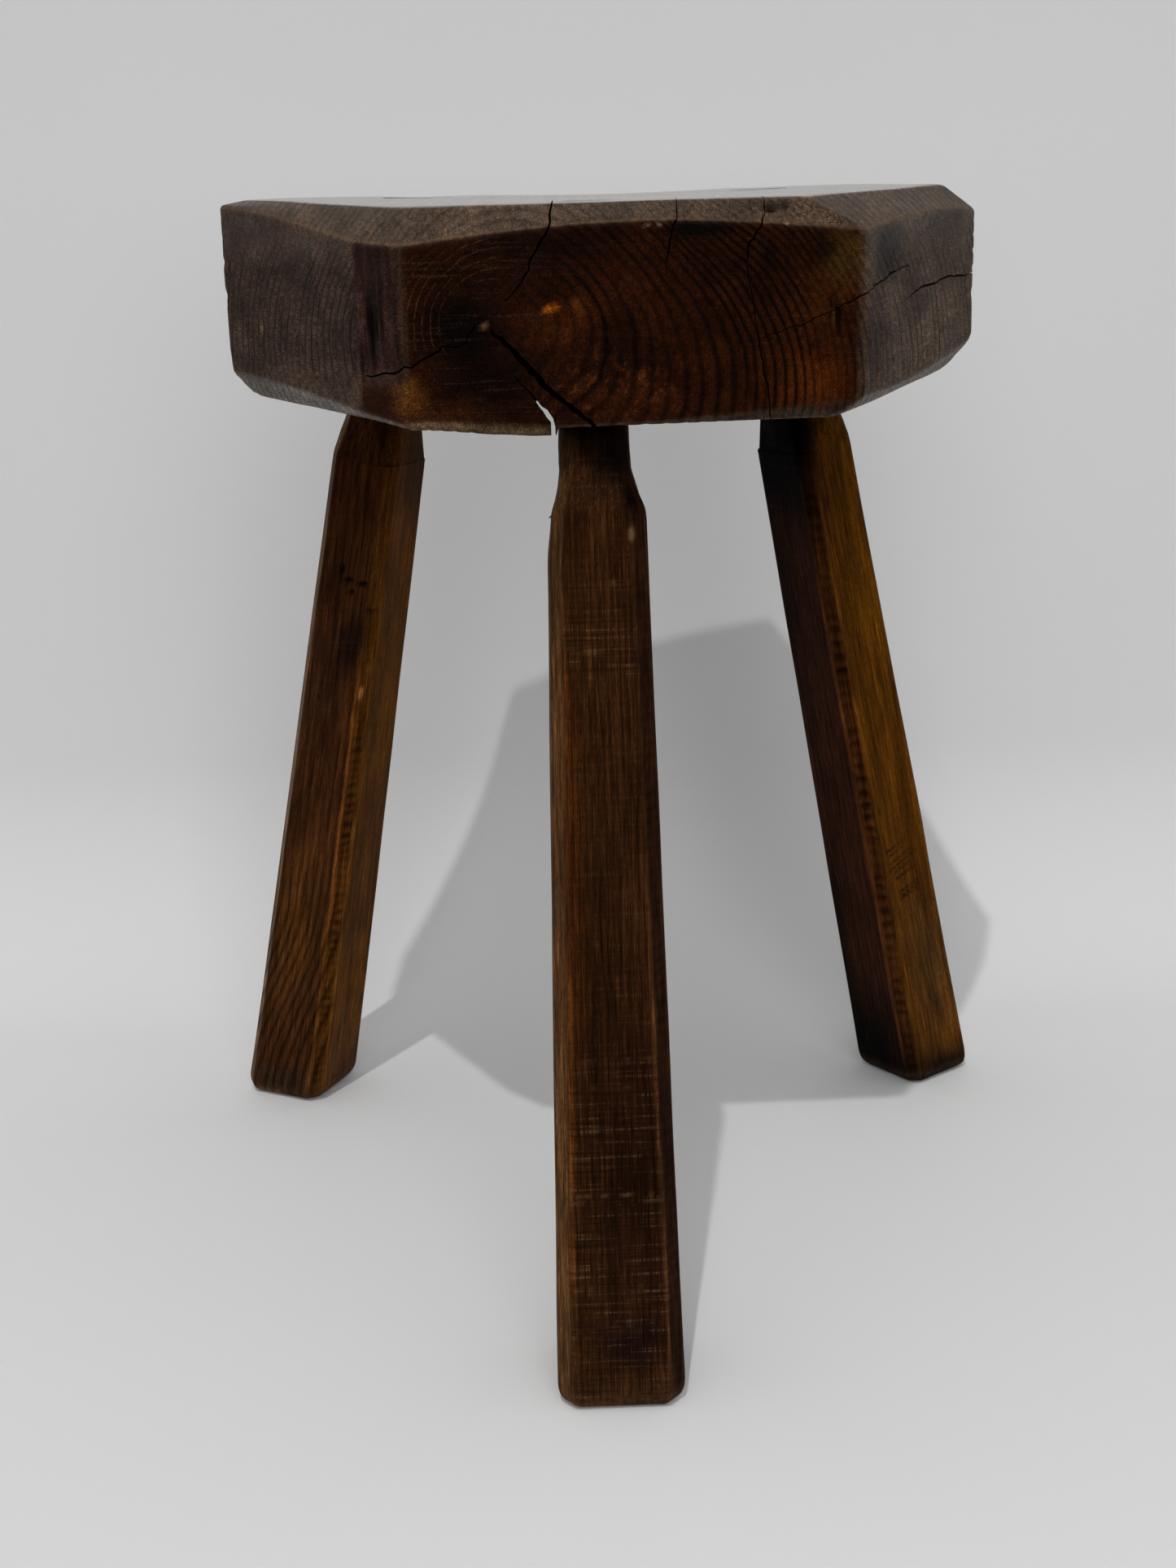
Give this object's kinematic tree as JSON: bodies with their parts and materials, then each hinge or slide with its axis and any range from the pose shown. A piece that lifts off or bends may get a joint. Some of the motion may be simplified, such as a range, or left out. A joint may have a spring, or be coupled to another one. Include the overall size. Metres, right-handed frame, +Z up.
{
  "type": "milking stool",
  "caption": "Low hand-hewn wooden stool: a thick chamfered slab seat on splayed, tapered square legs with wedged through tenons.",
  "frame": {"origin": "on the floor, under the middle of the stool's overall box", "axes": "+Z up, -Y towards the single front leg, +X to the right when facing the front leg"},
  "size_m": [0.3642, 0.3632, 0.4315],
  "materials": {
    "seat_wood": "dark brown stain, satin, worn",
    "leg_wood": "brown stain, satin, worn along the edges",
    "wedge_wood": "brown stain, satin"
  },
  "bodies": {
    "root": {"seat": "seat_wood", "leg_front": "leg_wood", "leg_left": "leg_wood", "leg_right": "leg_wood", "wedge_front": "wedge_wood", "wedge_left": "wedge_wood", "wedge_right": "wedge_wood"}
  },
  "joints": []
}
